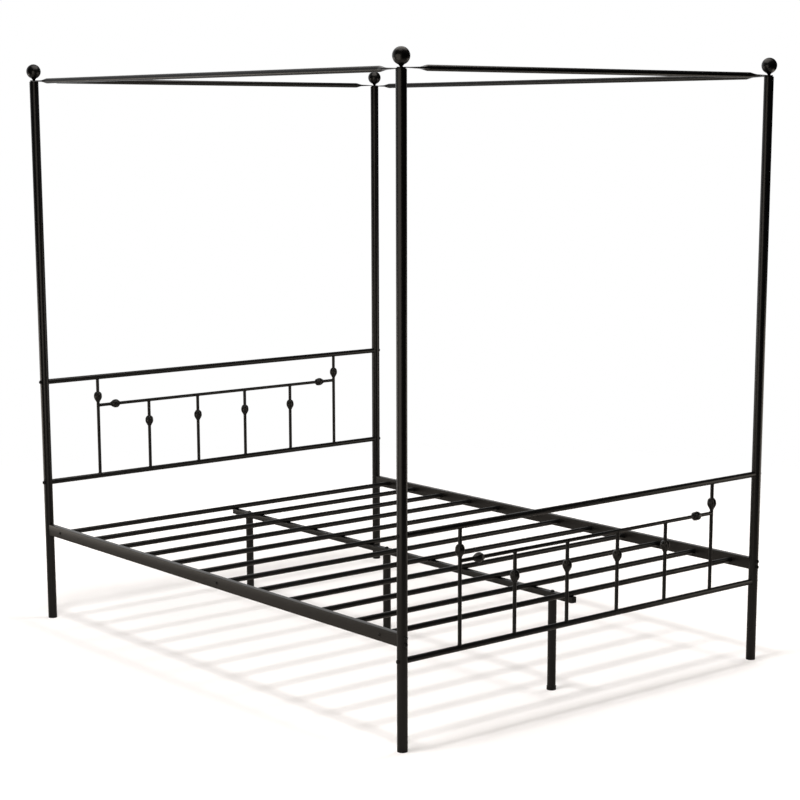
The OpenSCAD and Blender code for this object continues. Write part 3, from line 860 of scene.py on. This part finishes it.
panel_places, rail_places = [], []
rail_z = middle("side_rail_left").z
BOLT_PITCH = 20 * MM
for corner, p in post_at.items():
    sx, sy = post_far[corner]
    panel = PANELS[0] if sy > 0 else PANELS[1]
    for i, place in enumerate(("top", "bottom")):
        z = middle(panel + "_" + place + "_rail").z
        panel_places.append(((p.x + sx * POST_R, p.y, z), (sx, 0, 0), 0.35 + 0.7 * i + 0.2 * sx))
    for k in (-1, 1):
        at = (p.x, p.y + sy * POST_R, rail_z + k * BOLT_PITCH / 2)
        rail_places.append((at, (0, sy, 0), 0.5 + 0.3 * k + 0.2 * sx))
screw_set("panel_bolt_set", "panel_bolts", BOLT, FRAME_BOLT_L, panel_places)
screw_set("side_rail_bolt_set", "side_rail_bolts", BOLT, FRAME_BOLT_L, rail_places)
beam_low, beam_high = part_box("centre_beam")
leg_places = [((x, y, beam_high.z), (0, 0, 1), 0.3 + i) for i, (x, y) in enumerate(leg_points)]
screw_set("leg_bolt_set", "leg_bolts", BOLT, LEG_BOLT_L, leg_places)
held_slats = [slat_names[i] for i in (0, len(slat_names) // 2, len(slat_names) - 1)]
slat_places, beam_places = [], []
for i, name in enumerate(held_slats):
    at = middle(name)
    for s, side in ((-1, "left"), (1, "right")):
        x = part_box("side_rail_" + side)[0 if s < 0 else 1].x
        slat_places.append(((x, at.y, at.z), (s, 0, 0), 0.4 * i + 0.3 * s))
    beam_places.append(((at.x, at.y, beam_low.z), (0, 0, -1), 0.6 * i))
screw_set("slat_screw_set", "slat_screws", SCREW, SLAT_SCREW_L, slat_places)
screw_set("beam_screw_set", "beam_screws", SCREW, BEAM_SCREW_L, beam_places)

# ---- Inner fittings ----
# Threaded inserts, blocks and studs are turned from steel bar: the post inserts are blackened, as their
# flanges show, and the rest are zinc plated. The slats' plugs and the beam's end caps are moulded.
zinc_plate = finish_with(
    "bright zinc plate", "#b9bcbd", "#c8cac8", 6, (0.25, 0.36), 0.7, 0.01, metallic=1.0
)
for name, finish in (
    ("post_inserts", black_oxide),
    ("finial_studs", zinc_plate),
    ("leg_inserts", zinc_plate),
    ("panel_rail_inserts", zinc_plate),
    ("side_rail_blocks", zinc_plate),
    ("slat_plugs", foot_plastic),
    ("beam_end_caps", foot_plastic),
):
    nodes[name].data.materials.clear()
    nodes[name].data.materials.append(finish)

# ---- Studio ----
# A pale floor fades into a white surround. Two far lights overhead draw the slats' shadows, and
# three soft boxes, two on the left and a weak one on the right, put long highlights on the tubes.
floor_finish = bpy.data.materials.new("pale studio floor")
floor_finish.use_nodes = True
tree = floor_finish.node_tree
tree.nodes.clear()
place = add_node(tree, "ShaderNodeTexCoord").outputs["Object"]
reach = add_node(tree, "ShaderNodeVectorMath", {0: place}, operation="LENGTH").outputs["Value"]
fade = add_node(
    tree,
    "ShaderNodeMapRange",
    {"Value": reach, "From Min": 2.2, "From Max": 4.4},
    interpolation_type="SMOOTHSTEP",
).outputs["Result"]
seen = add_node(tree, "ShaderNodeLightPath").outputs["Is Camera Ray"]
# The exposure that turns the floor white to the eye would make its reflections too strong
floor_tones = {0: seen, 6: linear("#938d86"), 7: linear("#cfccca")}
shade = add_node(tree, "ShaderNodeMix", floor_tones, data_type="RGBA").outputs[2]
paint = add_node(tree, "ShaderNodeBsdfDiffuse", {"Color": shade}).outputs["BSDF"]
# Painted light on the floor: a glow that only the camera sees, weak round the bed and stronger further out,
# so that the floor reads white away from the bed while the shadows under it stay
camera_glow_ramp = add_node(
    tree,
    "ShaderNodeMapRange",
    {"Value": reach, "From Min": 0.8, "From Max": 2.4, "To Min": 0.265, "To Max": 0.62},
    interpolation_type="SMOOTHSTEP",
).outputs["Result"]
glow = add_node(tree, "ShaderNodeMath", {0: seen, 1: camera_glow_ramp}, operation="MULTIPLY").outputs["Value"]
lift = add_node(
    tree, "ShaderNodeEmission", {"Color": linear("#fffcf9"), "Strength": glow}
).outputs["Emission"]
lit = add_node(tree, "ShaderNodeAddShader", {0: paint, 1: lift}).outputs["Shader"]
clear = add_node(tree, "ShaderNodeBsdfTransparent").outputs["BSDF"]
edge = add_node(tree, "ShaderNodeMixShader", {0: fade, 1: lit, 2: clear}).outputs["Shader"]
add_node(tree, "ShaderNodeOutputMaterial", {"Surface": edge})
FLOOR_HALF = 6.0
floor_mesh = bpy.data.meshes.new("floor")
floor_mesh.from_pydata(
    [(x * FLOOR_HALF, y * FLOOR_HALF, 0) for x, y in ((-1, -1), (1, -1), (1, 1), (-1, 1))],
    [],
    [(0, 1, 2, 3)],
)
floor_mesh.materials.append(floor_finish)
floor = bpy.data.objects.new("floor", floor_mesh)
scene.collection.objects.link(floor)


def soft_box(name, at, to, width, height, watts, tint="#ffffff"):
    """A rectangular soft box that faces a point and is not seen itself."""
    data = bpy.data.lights.new(name, "AREA")
    data.shape = "RECTANGLE"
    data.size, data.size_y = width, height
    data.energy = watts
    data.color = linear(tint)[:3]
    box = bpy.data.objects.new(name, data)
    scene.collection.objects.link(box)
    box.location = at
    box.rotation_euler = (Vector(to) - Vector(at)).to_track_quat("-Z", "Y").to_euler()
    box.visible_camera = False
    return box


soft_box("overhead", (0.0, 0.0, 4.2), (0.0, 0.0, 0.0), 3.4, 3.4, 60, "#fff8f0")
# Two far lights, left and right, draw the slats' shadows and leave each rail's on its inner side
for name, x, watts in (("left key", -2.2, 440), ("right key", 1.8, 225)):
    key = soft_box(name, (x, -0.7, 8.0), (0.0, 0.0, 0.0), 1.4, 1.4, watts, "#fdfdff")
    key.visible_glossy = False
soft_box("left soft box", (-2.25, -1.2, 1.25), (0.2, -0.6, 1.1), 1.9, 2.1, 14, "#fff3e4")
soft_box("low soft box", (-2.6, 2.9, 0.5), (-0.8, 0.7, 0.3), 2.2, 0.95, 14, "#fff1e0")
soft_box("right soft box", (2.2, -1.3, 0.62), (0.0, 0.6, 0.6), 2.2, 0.9, 8, "#fff3e4")

surround = bpy.data.worlds.new("studio")
scene.world = surround
surround.use_nodes = True
tree = surround.node_tree
tree.nodes.clear()
seen = add_node(tree, "ShaderNodeLightPath").outputs["Is Camera Ray"]
towards = add_node(tree, "ShaderNodeTexCoord").outputs["Generated"]
# The white backdrop stands behind the bed's head, and the rest of the room gives almost no light
BACKDROP_WAY = (0.25, 0.95, -0.1)
behind = add_node(
    tree, "ShaderNodeVectorMath", {0: towards, 1: BACKDROP_WAY}, operation="DOT_PRODUCT"
).outputs["Value"]
backdrop = add_node(
    tree,
    "ShaderNodeMapRange",
    {"Value": behind, "From Min": 0.35, "From Max": 0.9, "To Min": 0.012, "To Max": 0.8},
).outputs["Result"]
dim = add_node(
    tree, "ShaderNodeBackground", {"Color": linear("#ffffff"), "Strength": backdrop}
).outputs["Background"]
white = add_node(
    tree, "ShaderNodeBackground", {"Color": linear("#ffffff"), "Strength": 1.0}
).outputs["Background"]
both = add_node(tree, "ShaderNodeMixShader", {0: seen, 1: dim, 2: white}).outputs["Shader"]
add_node(tree, "ShaderNodeOutputWorld", {"Surface": both})
scene.view_settings.view_transform = "Standard"
